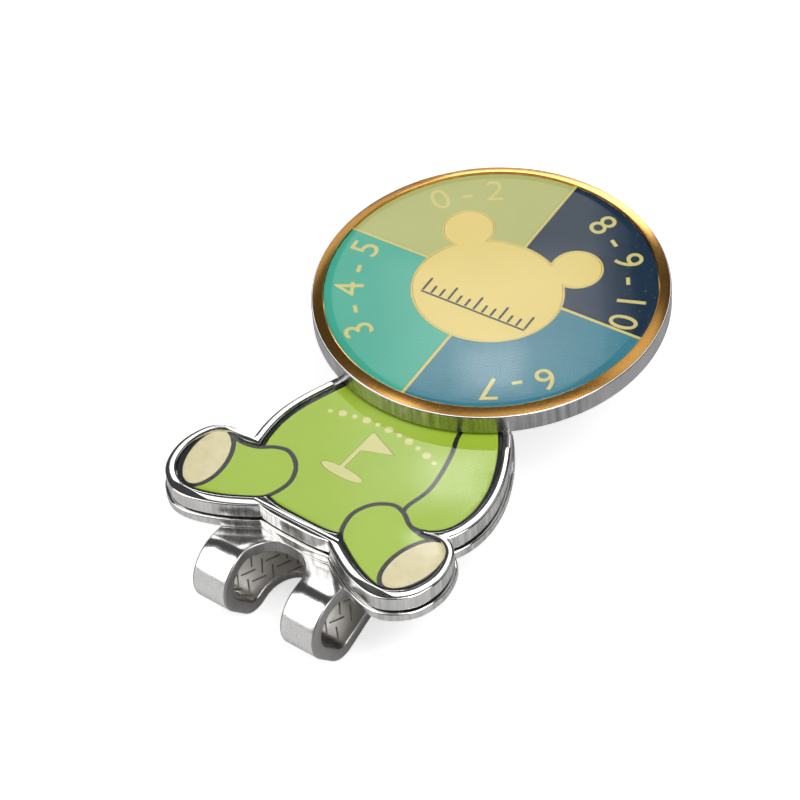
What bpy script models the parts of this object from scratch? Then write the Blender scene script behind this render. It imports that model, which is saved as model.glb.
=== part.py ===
"""Hat-clip ball marker: a 25 mm magnetic marker disc on a bear-shaped plate with a spring clip.

Units are metres, +Z is up and out of the plate, +Y runs from the bear's feet to its head.
The origin is the bottom centre of the whole object's box.
"""

import math

import bmesh
import bpy
from mathutils import Vector

OBJECT_NAME = "ball_marker"
MM = 0.001

# Driving dimensions
MARKER_RADIUS = 12.5 * MM
MARKER_TURN = math.radians(5.0)
MARKER_WALL = 1.50 * MM
MARKER_OFFSET_X = -1.25 * MM

FIT_GAP = 0.04 * MM
RIM_WIDTH = 0.62 * MM
LINE_HALF = 0.15 * MM
INK_INSET = 0.20 * MM
INK_SHIFT = Vector((0.0, 0.12)) * MM
BODY_PLATE_THICKNESS = 1.20 * MM
GROOVE = 0.18 * MM
BACKING_THICKNESS = 0.70 * MM
BACKING_STEP = 0.15 * MM
RECESS_DEPTH = 0.50 * MM
ENAMEL_THICKNESS = 0.28 * MM
COAT_THICKNESS = 0.12 * MM
SEAT_RADIUS = 7.8 * MM

MAGNET_RADIUS = 5.0 * MM
MAGNET_THICKNESS = 0.90 * MM

STRIP_THICKNESS = 0.95 * MM
STRIP_WIDTH = 10.3 * MM
SLOT_WIDTH = 4.6 * MM
LOOP_RADIUS = 2.65 * MM
LOOP_LOWER_TURN = math.radians(41.0)
LOOP_BACK_RUN = 1.70 * MM
HEEL_RADIUS = 1.70 * MM
TONGUE_RISE = math.radians(22.0)
TONGUE_RUN = 10.77 * MM
TIP_RADIUS = 3.0 * MM
TIP_TURN = math.radians(38.0)
TIP_RUN = 1.0 * MM
STRIP_RUN = 18.4 * MM
CLIP_SHIFT_X = -0.15 * MM
JOINT_GAP = 0.05 * MM

RIVET_HEAD_RADIUS = 1.2 * MM
RIVET_SHANK_RADIUS = 0.65 * MM
RIVET_HEAD_HEIGHT = 0.35 * MM

# Places in the plane of the plate, measured from the centre of the bear's head seat
MARKER_Y = 8.15 * MM
SLOT_TOP_END = -24.25 * MM
SLOT_LOWER_END = -22.70 * MM
BEND_START = -26.15 * MM
RIVET_ROWS = (-19.2 * MM, -9.4 * MM)
RIVET_HALF_SPACING = 3.0 * MM

# Outlines, as (x, y) in millimetres from the head seat's centre. The plates' edges lie outside
# them, and the middles of the ink lines a little inside.
TORSO_HALF = (
    (0.0, -23.5), (2.2, -23.42), (3.7, -22.9), (5.5, -21.5), (6.45, -19.5), (6.75, -17.3),
    (6.5, -15.2), (5.7, -12.8), (4.8, -10.6), (3.6, -8.7), (1.8, -7.8),
)
LEG = (
    (2.42, -21.2), (3.05, -19.6), (4.35, -18.75), (5.5, -18.95), (6.5, -19.6), (7.6, -19.85),
    (8.75, -19.75), (9.9, -20.45), (10.45, -22.3), (10.05, -24.1), (8.9, -25.2), (7.7, -25.42),
    (6.0, -24.95), (4.3, -24.1), (2.95, -23.1),
)
ARM = (
    (5.05, -18.8), (5.35, -16.9), (5.25, -15.4), (4.70, -13.2), (4.05, -11.5), (3.95, -9.6),
    (5.4, -8.6), (6.7, -9.7), (8.2, -12.0), (9.17, -14.3), (9.5, -16.5), (9.15, -18.4),
    (8.2, -19.6), (6.9, -20.05), (5.85, -19.8),
)
PAD_CENTRE = Vector((8.74, -22.42)) * MM
PAD_HALF_LENGTH = 2.72 * MM
PAD_HALF_WIDTH = 1.48 * MM
PAD_LEAN = math.radians(12.0)

# The plain golf flag on the chest, in millimetres from the head seat's centre
FLAG_POLE = ((-0.75, -18.2), (-0.45, -18.2), (-0.45, -14.3), (-0.75, -14.3))
FLAG_PENNANT = ((-0.6, -14.3), (-0.6, -16.1), (1.7, -15.2))
FLAG_GREEN_CENTRE = Vector((-0.3, -18.35)) * MM
FLAG_GREEN_HALF_WIDTH = 1.7 * MM
FLAG_GREEN_HALF_HEIGHT = 0.42 * MM

# Marker face
FACE_RIM_INNER = 11.66 * MM
DIVIDER_HALF = 0.10 * MM
DIVIDER_RISE = 0.55 * MM
HEAD_CENTRE = Vector((-0.05, -0.35)) * MM
HEAD_HALF_WIDTH = 5.37 * MM
HEAD_HALF_HEIGHT = 4.85 * MM
EAR_RADIUS = 1.78 * MM
EAR_DISTANCE = 6.43 * MM
EAR_ANGLE = math.radians(43.0)
HEAD_WALL = 0.10 * MM

OUTLINE_STEPS = 5
TURN_STEPS = 64
WELD_DISTANCE = 0.004 * MM


# ---------------------------------------------------------------- clip centre line

def walk(start, heading, moves):
    """Points and headings along a line of straight runs and arcs, in a side view (y, z)."""
    point = Vector(start)
    samples = [(point.copy(), heading)]
    for kind, size, turn in moves:
        if kind == "run":
            point = point + Vector((math.cos(heading), math.sin(heading))) * size
            samples.append((point.copy(), heading))
            continue
        steps = max(3, math.ceil(abs(turn) / math.radians(12.0)))
        side = math.copysign(1.0, turn)
        centre = point + Vector((-math.sin(heading), math.cos(heading))) * size * side
        first = heading
        for step in range(1, steps + 1):
            heading = first + turn * step / steps
            point = centre + Vector((math.sin(heading), -math.cos(heading))) * size * side
            samples.append((point.copy(), heading))
    return samples


def band(samples, thickness):
    """The closed side outline of a strip of even thickness along a walked line."""
    half = thickness / 2
    left = [p + Vector((-math.sin(h), math.cos(h))) * half for p, h in samples]
    right = [p - Vector((-math.sin(h), math.cos(h))) * half for p, h in samples]
    return left + right[::-1]


def tongue_walk():
    """The lower half of the clip, from the hinge line at the front of the loop."""
    middle = LOOP_RADIUS - STRIP_THICKNESS / 2
    heel = HEEL_RADIUS - STRIP_THICKNESS / 2
    heel_turn = math.radians(90.0) - LOOP_LOWER_TURN + TONGUE_RISE
    start = (STRIP_THICKNESS / 2, -JOINT_GAP / 2)
    moves = [
        ("arc", middle, LOOP_LOWER_TURN),
        ("run", LOOP_BACK_RUN, 0.0),
        ("arc", heel, heel_turn),
        ("run", TONGUE_RUN, 0.0),
        ("arc", TIP_RADIUS, -TIP_TURN),
        ("run", TIP_RUN, 0.0),
    ]
    return walk(start, math.radians(-90.0), moves)


def root_walk():
    """The upper half of the clip, from its hidden end to the hinge line."""
    middle = LOOP_RADIUS - STRIP_THICKNESS / 2
    start = (LOOP_RADIUS + STRIP_RUN, middle)
    moves = [
        ("run", STRIP_RUN, 0.0),
        ("arc", middle, math.radians(90.0)),
    ]
    return walk(start, math.radians(180.0), moves)


# Levels, built up from the lowest point of the clip
HINGE_Z = -min(point.y for point in band(tongue_walk(), STRIP_THICKNESS))
STRIP_TOP = HINGE_Z + LOOP_RADIUS
STRIP_BOTTOM = STRIP_TOP - STRIP_THICKNESS
BACKING_BOTTOM = STRIP_TOP + FIT_GAP
BACKING_TOP = BACKING_BOTTOM + BACKING_THICKNESS
PLATE_BOTTOM = BACKING_TOP + GROOVE
PLATE_TOP = PLATE_BOTTOM + BODY_PLATE_THICKNESS
RECESS_FLOOR = PLATE_TOP - RECESS_DEPTH
ENAMEL_BOTTOM = RECESS_FLOOR + FIT_GAP
ENAMEL_TOP = ENAMEL_BOTTOM + ENAMEL_THICKNESS
COAT_BOTTOM = ENAMEL_TOP + FIT_GAP
COAT_TOP = COAT_BOTTOM + COAT_THICKNESS
MARKER_BOTTOM = PLATE_TOP + FIT_GAP

SEAT_X = -MARKER_OFFSET_X
CLIP_X = SEAT_X + CLIP_SHIFT_X
HINGE_Y = MARKER_Y + BEND_START - LOOP_RADIUS


# ---------------------------------------------------------------- collections and materials

def clear_scene():
    for obj in list(bpy.data.objects):
        bpy.data.objects.remove(obj, do_unlink=True)


def new_collection(name):
    collection = bpy.data.collections.new(name)
    bpy.context.scene.collection.children.link(collection)
    return collection


def principled(name, colour, roughness, metallic, alpha=1.0):
    material = bpy.data.materials.new(name)
    material.use_nodes = True
    shader = material.node_tree.nodes["Principled BSDF"]
    shader.inputs["Base Color"].default_value = (*colour, 1.0)
    shader.inputs["Roughness"].default_value = roughness
    shader.inputs["Metallic"].default_value = metallic
    shader.inputs["Alpha"].default_value = alpha
    return material


def nickel(name):
    return principled(name, (0.78, 0.77, 0.74), 0.18, 1.0)


def enamel(name, colour):
    return principled(name, colour, 0.25, 0.0)


# ---------------------------------------------------------------- outlines

def smooth_loop(points, steps):
    """A closed Catmull-Rom curve through points in millimetres, as points in metres."""
    knots = [Vector(point) * MM for point in points]
    count = len(knots)
    loop = []
    for index in range(count):
        a, b, c, d = (knots[(index + shift) % count] for shift in (-1, 0, 1, 2))
        for step in range(steps):
            t = step / steps
            bend = 2 * a - 5 * b + 4 * c - d
            twist = 3 * b - 3 * c + d - a
            loop.append(b + (c - a) * t / 2 + bend * t * t / 2 + twist * t ** 3 / 2)
    return loop


def ellipse(centre, half_width, half_height, lean=0.0, steps=40):
    """An ellipse whose tall axis leans clockwise from +Y."""
    loop = []
    for step in range(steps):
        angle = 2 * math.pi * step / steps
        x = half_width * math.cos(angle)
        y = half_height * math.sin(angle)
        turned = (x * math.cos(lean) + y * math.sin(lean), y * math.cos(lean) - x * math.sin(lean))
        loop.append(Vector(centre) + Vector(turned))
    return loop


def mirrored(loop):
    return [Vector((-point.x, point.y)) for point in reversed(loop)]


def area_of(loop):
    pairs = zip(loop, loop[1:] + loop[:1])
    return sum(a.x * b.y - b.x * a.y for a, b in pairs) / 2


def distance_to_loop(point, loop):
    best = math.inf
    for a, b in zip(loop, loop[1:] + loop[:1]):
        edge = b - a
        share = min(1.0, max(0.0, (point - a).dot(edge) / edge.length_squared))
        best = min(best, (point - a - edge * share).length)
    return best


def offset(loop, distance):
    """The loop moved outwards by distance, or inwards where it is negative."""
    if area_of(loop) < 0:
        loop = loop[::-1]
    count = len(loop)
    moved = []
    for index, point in enumerate(loop):
        along = (loop[(index + 1) % count] - loop[index - 1]).normalized()
        target = point + Vector((along.y, -along.x)) * distance
        if distance_to_loop(target, loop) > abs(distance) * 0.98:
            moved.append(target)
    return moved


def torso_loop():
    right = [Vector(point) for point in TORSO_HALF]
    left = [Vector((-point.x, point.y)) for point in right[:0:-1]]
    return smooth_loop(right + left, OUTLINE_STEPS)


def ink_line(loop):
    """The middle of the ink line that runs inside a plate outline."""
    return [point + INK_SHIFT for point in offset(loop, -INK_INSET)]


TORSO_EDGE = torso_loop()
LEG_RIGHT_EDGE = smooth_loop(LEG, OUTLINE_STEPS)
LEG_LEFT_EDGE = mirrored(LEG_RIGHT_EDGE)
ARM_EDGE = smooth_loop(ARM, OUTLINE_STEPS)
SEAT_EDGE = ellipse((0.0, 0.0), SEAT_RADIUS, SEAT_RADIUS, steps=TURN_STEPS)
PLATE_EDGES = (TORSO_EDGE, LEG_RIGHT_EDGE, LEG_LEFT_EDGE, ARM_EDGE, SEAT_EDGE)

TORSO_LINE = ink_line(TORSO_EDGE)
LEG_RIGHT_LINE = ink_line(LEG_RIGHT_EDGE)
LEG_LEFT_LINE = mirrored(LEG_RIGHT_LINE)
ARM_LINE = ink_line(ARM_EDGE)
PAD_RIGHT_LINE = ellipse(PAD_CENTRE + INK_SHIFT, PAD_HALF_WIDTH, PAD_HALF_LENGTH, PAD_LEAN)
PAD_LEFT_LINE = mirrored(PAD_RIGHT_LINE)
INK_LINES = (TORSO_LINE, LEG_RIGHT_LINE, LEG_LEFT_LINE, ARM_LINE)


# ---------------------------------------------------------------- solids

def link(obj, collection, material=None):
    collection.objects.link(obj)
    if material:
        obj.data.materials.clear()
        obj.data.materials.append(material)
    return obj


def flat_curve(name, loop, thickness):
    """A filled 2D curve, half its thickness either side of its own plane."""
    curve = bpy.data.curves.new(name, "CURVE")
    curve.dimensions = "2D"
    curve.fill_mode = "BOTH"
    curve.extrude = thickness / 2
    spline = curve.splines.new("POLY")
    spline.points.add(len(loop) - 1)
    for target, point in zip(spline.points, loop):
        target.co = (point.x, point.y, 0.0, 1.0)
    spline.use_cyclic_u = True
    return bpy.data.objects.new(name, curve)


def meshed(obj, collection):
    """The object as a plain welded mesh in the same place. The object itself is removed."""
    if not obj.users_collection:
        collection.objects.link(obj)
    bpy.context.view_layer.update()
    graph = bpy.context.evaluated_depsgraph_get()
    mesh = bpy.data.meshes.new_from_object(obj.evaluated_get(graph))
    place = obj.matrix_world.copy()
    name = obj.name
    bpy.data.objects.remove(obj, do_unlink=True)
    work = bmesh.new()
    work.from_mesh(mesh)
    bmesh.ops.remove_doubles(work, verts=work.verts, dist=0.001 * MM)
    bmesh.ops.recalc_face_normals(work, faces=work.faces)
    work.to_mesh(mesh)
    work.free()
    solid = bpy.data.objects.new(name, mesh)
    solid.matrix_world = place
    collection.objects.link(solid)
    return solid


def weld(mesh):
    """Joins the points that a cut leaves closer together than the solid can use."""
    work = bmesh.new()
    work.from_mesh(mesh)
    bmesh.ops.remove_doubles(work, verts=work.verts, dist=WELD_DISTANCE)
    bmesh.ops.dissolve_degenerate(work, edges=work.edges, dist=WELD_DISTANCE)
    work.to_mesh(mesh)
    work.free()


def prism(name, loop, bottom, top, collection, centre=(0.0, 0.0), turn=0.0):
    """A flat plate with the loop's outline between two levels."""
    obj = flat_curve(name, loop, top - bottom)
    obj.location = (centre[0], centre[1], (bottom + top) / 2)
    obj.rotation_euler = (0.0, 0.0, turn)
    return meshed(obj, collection)


def combine(target, other, operation):
    """Joins other to target, or cuts it out, and removes other."""
    modifier = target.modifiers.new(operation.lower(), "BOOLEAN")
    modifier.operation = operation
    modifier.solver = "EXACT"
    modifier.object = other
    bpy.context.view_layer.update()
    graph = bpy.context.evaluated_depsgraph_get()
    mesh = bpy.data.meshes.new_from_object(target.evaluated_get(graph))
    target.modifiers.clear()
    target.data = mesh
    bpy.data.objects.remove(other, do_unlink=True)
    return target


def bear_prism(name, loops, spread, bottom, top, collection):
    """One solid over several overlapping outlines, each spread outwards, placed on the bear's axis."""
    centre = (SEAT_X, MARKER_Y)
    first, *rest = [
        prism(f"{name}_{index}", offset(loop, spread), bottom, top, collection, centre)
        for index, loop in enumerate(loops)
    ]
    for other in rest:
        combine(first, other, "UNION")
    first.name = name
    return first


def largest_piece(obj):
    """Drops the slivers that a cut leaves beside the main piece."""
    work = bmesh.new()
    work.from_mesh(obj.data)
    islands = []
    unseen = set(work.verts)
    while unseen:
        stack = [unseen.pop()]
        island = set(stack)
        while stack:
            for edge in stack.pop().link_edges:
                for vert in edge.verts:
                    if vert in unseen:
                        unseen.remove(vert)
                        island.add(vert)
                        stack.append(vert)
        islands.append(island)
    islands.sort(key=len)
    loose = [vert for island in islands[:-1] for vert in island]
    bmesh.ops.delete(work, geom=loose, context="VERTS")
    work.to_mesh(obj.data)
    work.free()
    return obj


def cylinder(name, radius, bottom, top, centre, collection, steps=32):
    bpy.ops.mesh.primitive_cylinder_add(
        vertices=steps,
        radius=radius,
        depth=top - bottom,
        location=(centre[0], centre[1], (bottom + top) / 2),
    )
    return adopt(bpy.context.active_object, name, collection)


def adopt(obj, name, collection):
    for current in list(obj.users_collection):
        current.objects.unlink(obj)
    obj.name = name
    collection.objects.link(obj)
    return obj


def turned(name, profile, collection, material, steps=TURN_STEPS):
    """A profile of (radius, height) points, from the axis down the outer side, turned about Z."""
    mesh = bpy.data.meshes.new(name)
    points = [(radius, 0.0, height) for radius, height in profile]
    edges = [(index, index + 1) for index in range(len(points) - 1)]
    mesh.from_pydata(points, edges, [])
    obj = bpy.data.objects.new(name, mesh)
    link(obj, collection, material)
    screw = obj.modifiers.new("turn", "SCREW")
    screw.steps = steps
    screw.render_steps = steps
    screw.use_merge_vertices = True
    screw.merge_threshold = 0.00001
    return obj


def finish(obj, name, parts, material):
    """Names a finished solid, gives it its material and shades its round sides smooth."""
    weld(obj.data)
    adopt(obj, name, parts)
    obj.data.materials.clear()
    obj.data.materials.append(material)
    obj.data.shade_smooth()
    obj.data.set_sharp_from_angle(angle=math.radians(30.0))
    return obj


# ---------------------------------------------------------------- the bear-shaped holder

def make_body_plate(parts, cutters):
    """Upper die-struck plate: an outer rim round a shallow recess, and a magnet pocket below."""
    plate = bear_prism("body_plate", PLATE_EDGES, RIM_WIDTH, PLATE_BOTTOM, PLATE_TOP, cutters)
    recess_top = PLATE_TOP + RECESS_DEPTH
    spread = LINE_HALF + FIT_GAP / 2
    recess = bear_prism("recess", INK_LINES, spread, RECESS_FLOOR, recess_top, cutters)
    combine(plate, recess, "DIFFERENCE")
    pocket_top = PLATE_BOTTOM + MAGNET_THICKNESS + 2 * FIT_GAP
    pocket_radius = MAGNET_RADIUS + FIT_GAP
    centre = (SEAT_X, MARKER_Y)
    pocket = cylinder("pocket", pocket_radius, PLATE_BOTTOM - MM, pocket_top, centre, cutters)
    combine(plate, pocket, "DIFFERENCE")
    return finish(plate, "body_plate", parts, nickel("plated_body"))


def zone(name, loop, covers, parts, cutters, colour):
    """One enamel field inside its ink line, less the fields that lie over it."""
    inset = -(LINE_HALF + FIT_GAP / 2)
    field = bear_prism(name, (loop,), inset, ENAMEL_BOTTOM, ENAMEL_TOP, cutters)
    for index, cover in enumerate(covers):
        low = ENAMEL_BOTTOM - FIT_GAP / 2
        high = ENAMEL_TOP + FIT_GAP / 2
        over = bear_prism(f"cover_{index}", (cover,), -inset, low, high, cutters)
        combine(field, over, "DIFFERENCE")
    largest_piece(field)
    return finish(field, name, parts, enamel(name, colour))


def make_enamel_fields(parts, cutters):
    green = (0.33, 0.56, 0.06)
    cream = (0.80, 0.69, 0.42)
    legs = (LEG_RIGHT_LINE, LEG_LEFT_LINE)
    torso = zone("torso_enamel", TORSO_LINE, (*legs, ARM_LINE), parts, cutters, green)
    low = ENAMEL_BOTTOM - MM
    high = ENAMEL_TOP + MM
    combine(torso, emblem_solid("emblem_pocket", FIT_GAP, low, high, cutters), "DIFFERENCE")
    zone("right_arm_enamel", ARM_LINE, (LEG_RIGHT_LINE,), parts, cutters, green)
    zone("right_leg_enamel", LEG_RIGHT_LINE, (PAD_RIGHT_LINE,), parts, cutters, green)
    zone("left_leg_enamel", LEG_LEFT_LINE, (PAD_LEFT_LINE,), parts, cutters, green)
    zone("right_foot_pad", PAD_RIGHT_LINE, (), parts, cutters, cream)
    zone("left_foot_pad", PAD_LEFT_LINE, (), parts, cutters, cream)


def make_outline_inlay(parts, cutters):
    """The dark ink line that runs round every enamel field."""
    spread = LINE_HALF - FIT_GAP / 2
    inlay = bear_prism("outline_inlay", INK_LINES, spread, ENAMEL_BOTTOM, ENAMEL_TOP, cutters)
    low = ENAMEL_BOTTOM - MM
    high = ENAMEL_TOP + MM
    legs = (LEG_RIGHT_LINE, LEG_LEFT_LINE)
    fields = (
        (TORSO_LINE, (*legs, ARM_LINE)),
        (ARM_LINE, (LEG_RIGHT_LINE,)),
        (LEG_RIGHT_LINE, (PAD_RIGHT_LINE,)),
        (LEG_LEFT_LINE, (PAD_LEFT_LINE,)),
        (PAD_RIGHT_LINE, ()),
        (PAD_LEFT_LINE, ()),
    )
    for line, covers in fields:
        field = bear_prism("field", (line,), -spread, low, high, cutters)
        for cover in covers:
            over = bear_prism("over", (cover,), spread, low - MM, high + MM, cutters)
            combine(field, over, "DIFFERENCE")
        combine(inlay, largest_piece(field), "DIFFERENCE")
    return finish(inlay, "outline_inlay", parts, enamel("outline_ink", (0.05, 0.05, 0.06)))


def emblem_solid(name, spread, bottom, top, cutters):
    """A plain golf flag: a pole, a pennant and the green that it stands on."""
    pole = [Vector(point) * MM for point in FLAG_POLE]
    pennant = [Vector(point) * MM for point in FLAG_PENNANT]
    green = ellipse(FLAG_GREEN_CENTRE, FLAG_GREEN_HALF_WIDTH, FLAG_GREEN_HALF_HEIGHT, steps=24)
    centre = (SEAT_X, MARKER_Y)
    pieces = [
        prism(f"{name}_{index}", spread_corners(loop, spread), bottom, top, cutters, centre)
        for index, loop in enumerate((pole, pennant, green))
    ]
    first, *rest = pieces
    for other in rest:
        combine(first, other, "UNION")
    return first


def spread_corners(loop, distance):
    """Moves each side of a convex outline outwards and meets the moved sides again."""
    if area_of(loop) < 0:
        loop = loop[::-1]
    moved = []
    count = len(loop)
    for index, point in enumerate(loop):
        before = (point - loop[index - 1]).normalized()
        after = (loop[(index + 1) % count] - point).normalized()
        out = Vector((before.y, -before.x)) + Vector((after.y, -after.x))
        moved.append(point + out * distance / (1.0 + before.dot(after)))
    return moved


def make_emblem(parts, cutters):
    emblem = emblem_solid("emblem", 0.0, ENAMEL_BOTTOM, ENAMEL_TOP, cutters)
    return finish(emblem, "emblem_inlay", parts, enamel("emblem_cream", (0.80, 0.69, 0.42)))


def make_clear_coat(parts, cutters):
    spread = LINE_HALF - FIT_GAP / 2
    coat = bear_prism("body_clear_coat", INK_LINES, spread, COAT_BOTTOM, COAT_TOP, cutters)
    clear = principled("body_clear_coat", (0.9, 0.95, 0.85), 0.05, 0.0, 0.3)
    return finish(coat, "body_clear_coat", parts, clear)


def make_magnet(parts, cutters):
    bottom = PLATE_BOTTOM + FIT_GAP
    centre = (SEAT_X, MARKER_Y)
    magnet = cylinder("magnet", MAGNET_RADIUS, bottom, bottom + MAGNET_THICKNESS, centre, cutters)
    return finish(magnet, "magnet", parts, principled("magnet", (0.45, 0.45, 0.46), 0.35, 1.0))


def make_bond_film(parts, cutters):
    """The dark adhesive film in the groove between the two plates."""
    bottom = BACKING_TOP + FIT_GAP
    top = PLATE_BOTTOM - FIT_GAP
    spread = RIM_WIDTH - 0.25 * MM
    film = bear_prism("bond_film", PLATE_EDGES, spread, bottom, top, cutters)
    return finish(film, "bond_film", parts, principled("bond_film", (0.03, 0.03, 0.03), 0.8, 0.0))


def rivet_centres():
    return [
        (CLIP_X + side * RIVET_HALF_SPACING, MARKER_Y + row)
        for row in RIVET_ROWS
        for side in (-1.0, 1.0)
    ]


def drill(target, cutters):
    """Cuts the rivets' clearance holes."""
    radius = RIVET_SHANK_RADIUS + FIT_GAP
    for centre in rivet_centres():
        hole = cylinder("hole", radius, STRIP_BOTTOM - MM, PLATE_BOTTOM + MM, centre, cutters, 16)
        combine(target, hole, "DIFFERENCE")


def make_backing_plate(parts, cutters):
    spread = RIM_WIDTH + BACKING_STEP
    plate = bear_prism("backing_plate", PLATE_EDGES, spread, BACKING_BOTTOM, BACKING_TOP, cutters)
    drill(plate, cutters)
    return finish(plate, "backing_plate", parts, nickel("plated_backing"))


def make_rivets(parts, cutters):
    """Flush rivets that hold the clip's strip to the backing plate."""
    head_top = STRIP_BOTTOM - FIT_GAP
    head_bottom = head_top - RIVET_HEAD_HEIGHT
    shank_low = head_bottom + RIVET_HEAD_HEIGHT / 2
    steel = nickel("rivet_steel")
    for number, centre in enumerate(rivet_centres(), 1):
        head = cylinder("head", RIVET_HEAD_RADIUS, head_bottom, head_top, centre, cutters, 20)
        shank = cylinder("shank", RIVET_SHANK_RADIUS, shank_low, BACKING_TOP, centre, cutters, 16)
        combine(head, shank, "UNION")
        finish(head, f"clip_rivet_{number}", parts, steel)


# ---------------------------------------------------------------- the spring clip

def strip_solid(name, samples, cutters):
    """A bent strip: its side outline, drawn in the (y, z) plane, run across its width."""
    obj = flat_curve(name, band(samples, STRIP_THICKNESS), STRIP_WIDTH)
    obj.rotation_euler = (math.radians(90.0), 0.0, math.radians(90.0))
    obj.location = (CLIP_X, HINGE_Y, HINGE_Z)
    return meshed(obj, cutters)


def slot_cutter(name, end, bottom, top, cutters):
    """A slot open at the front of the loop and round at its far end."""
    half = SLOT_WIDTH / 2
    arc_y = end - half
    front = BEND_START - LOOP_RADIUS - 2 * MM
    loop = [Vector((half, front))]
    for step in range(13):
        angle = math.pi * step / 12
        loop.append(Vector((half * math.cos(angle), arc_y + half * math.sin(angle))))
    loop.append(Vector((-half, front)))
    return prism(name, loop, bottom, top, cutters, (CLIP_X, MARKER_Y))


def make_clip_root(parts, cutters):
    root = strip_solid("clip_root", root_walk(), cutters)
    top = STRIP_TOP + MM
    bottom = HINGE_Z - MM
    combine(root, slot_cutter("upper_slot", SLOT_TOP_END, bottom, top, cutters), "DIFFERENCE")
    drill(root, cutters)
    return finish(root, "clip_root", parts, nickel("clip_root_steel"))


def make_clip_tongue(parts, cutters):
    """The sprung half of the clip. Its origin is on the hinge line at the front of the loop."""
    tongue = strip_solid("clip_tongue", tongue_walk(), cutters)
    top = HINGE_Z + MM
    combine(tongue, slot_cutter("lower_slot", SLOT_LOWER_END, -MM, top, cutters), "DIFFERENCE")
    return finish(tongue, "clip_tongue", parts, nickel("clip_tongue_steel"))


# ---------------------------------------------------------------- the marker disc

FACE_FLOOR = 1.25 * MM
FACE_INK_TOP = 1.56 * MM
DIVIDER_TOP = 1.58 * MM
DOME_BOTTOM = DIVIDER_TOP + FIT_GAP
CUP_FLOOR = 0.95 * MM
LIP_INNER = MARKER_RADIUS - 0.14 * MM
RIM_CREST = 1.74 * MM
RIM_FALL = 0.23 * MM


def make_marker_base(parts, empty):
    """Plated steel cup: the side wall, the flat underside and a thin lip round the face."""
    outer = MARKER_RADIUS
    profile = (
        (0.0, CUP_FLOOR), (LIP_INNER, CUP_FLOOR), (LIP_INNER, MARKER_WALL),
        (outer - 0.07 * MM, MARKER_WALL), (outer, MARKER_WALL - 0.07 * MM),
        (outer, 0.12 * MM), (outer - 0.12 * MM, 0.0), (0.0, 0.0),
    )
    base = turned("marker_base", profile, parts, nickel("marker_steel"))
    base.parent = empty
    return base


def head_loops(spread):
    """The outlines of the bear's head and its two ears."""
    loops = [ellipse(HEAD_CENTRE, HEAD_HALF_WIDTH + spread, HEAD_HALF_HEIGHT + spread, steps=48)]
    for side in (-1.0, 1.0):
        way = Vector((side * math.sin(EAR_ANGLE), math.cos(EAR_ANGLE)))
        centre = HEAD_CENTRE + way * EAR_DISTANCE
        radius = EAR_RADIUS + spread
        loops.append(ellipse(centre, radius, radius, steps=24))
    return loops


def head_prism(name, spread, bottom, top, cutters):
    centre = (0.0, MARKER_Y)
    low = MARKER_BOTTOM + bottom
    high = MARKER_BOTTOM + top
    first, *rest = [
        prism(f"{name}_{index}", loop, low, high, cutters, centre, MARKER_TURN)
        for index, loop in enumerate(head_loops(spread))
    ]
    for other in rest:
        combine(first, other, "UNION")
    return first


def sloped_rim():
    """The gilt rim's section: a crest at its inner edge, falling gently to its outer edge."""
    inner = FACE_RIM_INNER
    outer = LIP_INNER - FIT_GAP
    crest = inner + 0.06 * MM
    middle = (crest + outer) / 2
    low = RIM_CREST - RIM_FALL
    return [
        (inner, RIM_CREST - 0.05 * MM), (crest, RIM_CREST),
        (middle, (RIM_CREST + low) / 2 + 0.01 * MM), (outer, low),
    ]


def make_marker_face(parts, cutters):
    """Gilt face plate: a raised rim, two crossing dividers and a wall round the bear's head."""
    outer = LIP_INNER - FIT_GAP
    bottom = CUP_FLOOR + FIT_GAP
    rim = sloped_rim()
    profile = [(0.0, FACE_FLOOR), (FACE_RIM_INNER, FACE_FLOOR), *rim, (outer, bottom), (0.0, bottom)]
    dish = turned("dish", profile, cutters, None)
    dish.location = (0.0, MARKER_Y, MARKER_BOTTOM)
    dish.rotation_euler = (0.0, 0.0, MARKER_TURN)
    face = meshed(dish, cutters)
    reach = FACE_RIM_INNER + 0.1 * MM
    low = MARKER_BOTTOM + FACE_FLOOR - 0.1 * MM
    high = MARKER_BOTTOM + DIVIDER_TOP
    signs = ((1, 1), (-1, 1), (-1, -1), (1, -1))
    for half_x, half_y, rise in ((reach, DIVIDER_HALF, DIVIDER_RISE), (DIVIDER_HALF, reach, 0.0)):
        loop = [Vector((side * half_x, rise + up * half_y)) for side, up in signs]
        bar = prism("bar", loop, low, high, cutters, (0.0, MARKER_Y), MARKER_TURN)
        combine(face, bar, "UNION")
    wall = head_prism("head_wall", HEAD_WALL, FACE_FLOOR - 0.1 * MM, DIVIDER_TOP, cutters)
    combine(face, wall, "UNION")
    pocket = head_prism("head_pocket", 0.0, FACE_FLOOR, DIVIDER_TOP + MM, cutters)
    combine(face, pocket, "DIFFERENCE")
    gilt = principled("gilt_face", (0.83, 0.68, 0.35), 0.2, 1.0)
    return finish(face, "marker_face", parts, gilt)


def quarter_loop(side, rise):
    """One quarter of the face's disc, clear of the dividers; side and rise are its signs in x and y."""
    inset = DIVIDER_HALF + FIT_GAP
    radius = FACE_RIM_INNER - FIT_GAP
    corner = Vector((side * inset, DIVIDER_RISE + rise * inset))
    start = math.atan2(corner.y, side * math.sqrt(radius ** 2 - corner.y ** 2))
    end = math.atan2(rise * math.sqrt(radius ** 2 - inset ** 2), corner.x)
    if abs(end - start) > math.pi:
        end += math.copysign(2 * math.pi, start)
    loop = [corner]
    for step in range(17):
        angle = start + (end - start) * step / 16
        loop.append(Vector((math.cos(angle), math.sin(angle))) * radius)
    return loop


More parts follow.
